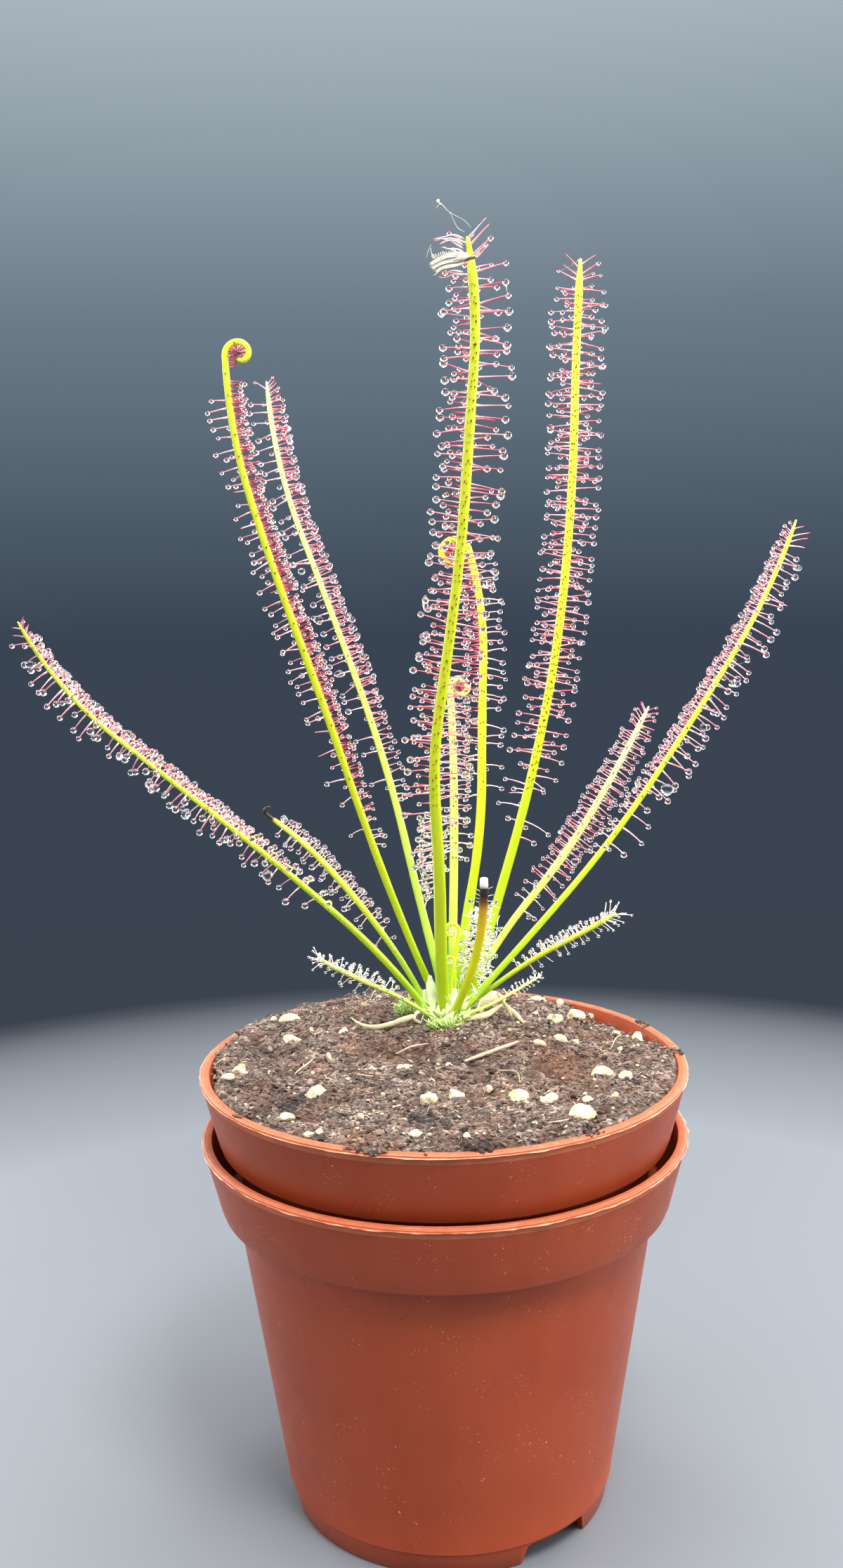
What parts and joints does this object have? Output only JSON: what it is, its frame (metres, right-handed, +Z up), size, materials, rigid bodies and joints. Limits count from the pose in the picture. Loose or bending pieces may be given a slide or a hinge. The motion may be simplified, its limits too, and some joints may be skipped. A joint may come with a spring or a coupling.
{
  "type": "potted sundew",
  "caption": "Thread-leaved sundew with tall sticky leaves, some coiled at the tip, in a round plastic nursery pot nested in a second one.",
  "frame": {"origin": "on the pots' axis, on the ground under the outer pot's foot, which is the middle of the model's box", "axes": "+Z up along the pots' axis, -Y towards the front that the picture shows, +X to the picture's right"},
  "size_m": [0.1409, 0.09, 0.2327],
  "materials": {
    "pot_plastic": "satin",
    "soil": "matte",
    "crown": "satin",
    "leaf_yellow": "satin",
    "leaf_green": "satin",
    "leaf_pale": "satin",
    "leaf_withered": "satin",
    "tentacle": "satin",
    "dew": "gloss",
    "woolly_hair": "matte",
    "dead_leaf": "matte",
    "moss": "matte",
    "pumice": "matte",
    "twig": "matte",
    "insect": "matte"
  },
  "bodies": {
    "root": {"outer_pot": "pot_plastic", "inner_pot": "pot_plastic", "soil": "soil", "crown": "crown", "leaf_tall_middle": "leaf_yellow", "leaf_tall_right": "leaf_yellow", "leaf_left_coiled": "leaf_yellow", "leaf_left_rear": "leaf_pale", "leaf_far_left": "leaf_green", "leaf_left_brown_tip": "leaf_green", "leaf_low_left": "leaf_pale", "leaf_middle_coiled": "leaf_yellow", "leaf_middle_short_coiled": "leaf_pale", "leaf_wet_thin": "leaf_pale", "leaf_right_rear": "leaf_pale", "leaf_far_right": "leaf_green", "leaf_low_right": "leaf_green", "leaf_low_right_small": "leaf_pale", "leaf_front_withered": "leaf_withered", "leaf_front_wet": "leaf_pale", "young_leaf_upper": "leaf_yellow", "young_leaf_lower": "leaf_yellow", "dead_leaf_left": "dead_leaf", "dead_leaf_right": "dead_leaf", "moss_left": "moss", "moss_front": "moss", "twig": "twig", "caught_insect": "insect", "grain_01": "pumice", "grain_02": "pumice", "grain_03": "pumice", "grain_04": "pumice", "grain_05": "pumice", "grain_06": "pumice", "grain_07": "pumice", "grain_08": "pumice", "grain_09": "pumice", "grain_10": "pumice", "grain_11": "pumice", "grain_12": "pumice", "grain_13": "pumice", "grain_14": "pumice", "grain_15": "pumice", "grain_16": "pumice", "grain_17": "pumice"}
  },
  "joints": []
}
